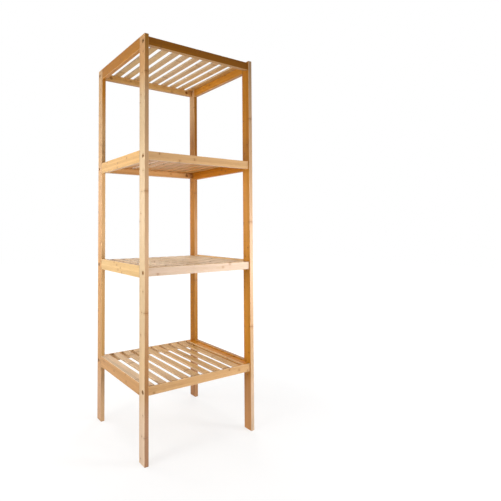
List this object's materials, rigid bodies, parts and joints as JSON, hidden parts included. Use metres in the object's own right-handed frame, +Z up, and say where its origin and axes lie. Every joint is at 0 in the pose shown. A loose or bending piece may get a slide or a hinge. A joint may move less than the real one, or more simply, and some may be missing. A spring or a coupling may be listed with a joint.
{
  "type": "slatted storage rack",
  "caption": "Tall free-standing bamboo rack: two side frames of legs and dowelled rails, joined by bolted slatted shelves for towels and small things.",
  "frame": {"origin": "on the floor, under the middle of the four legs", "axes": "+X to the right seen from the front, +Y from front to back, +Z up"},
  "size_m": [0.36, 0.33, 1.1],
  "materials": {
    "bamboo": "laminated strips, satin lacquer",
    "dowel_wood": "plain turned wood",
    "fastener_steel": "bronze plated",
    "pin_steel": "bright wire"
  },
  "bodies": {
    "root": {"leg_front_left": "bamboo", "leg_front_right": "bamboo", "leg_back_left": "bamboo", "leg_back_right": "bamboo", "side_rail_left_tier_1": "bamboo", "side_rail_left_tier_2": "bamboo", "side_rail_left_tier_3": "bamboo", "side_rail_left_tier_4": "bamboo", "side_rail_right_tier_1": "bamboo", "side_rail_right_tier_2": "bamboo", "side_rail_right_tier_3": "bamboo", "side_rail_right_tier_4": "bamboo", "shelf_rail_front_tier_1": "bamboo", "shelf_rail_front_tier_2": "bamboo", "shelf_rail_front_tier_3": "bamboo", "shelf_rail_front_tier_4": "bamboo", "shelf_rail_back_tier_1": "bamboo", "shelf_rail_back_tier_2": "bamboo", "shelf_rail_back_tier_3": "bamboo", "shelf_rail_back_tier_4": "bamboo", "slats_tier_1": "bamboo", "slats_tier_2": "bamboo", "slats_tier_3": "bamboo", "slats_tier_4": "bamboo", "frame_bolts": "fastener_steel", "barrel_nuts": "fastener_steel", "side_rail_dowels": "dowel_wood", "slat_pins": "pin_steel"}
  },
  "joints": []
}
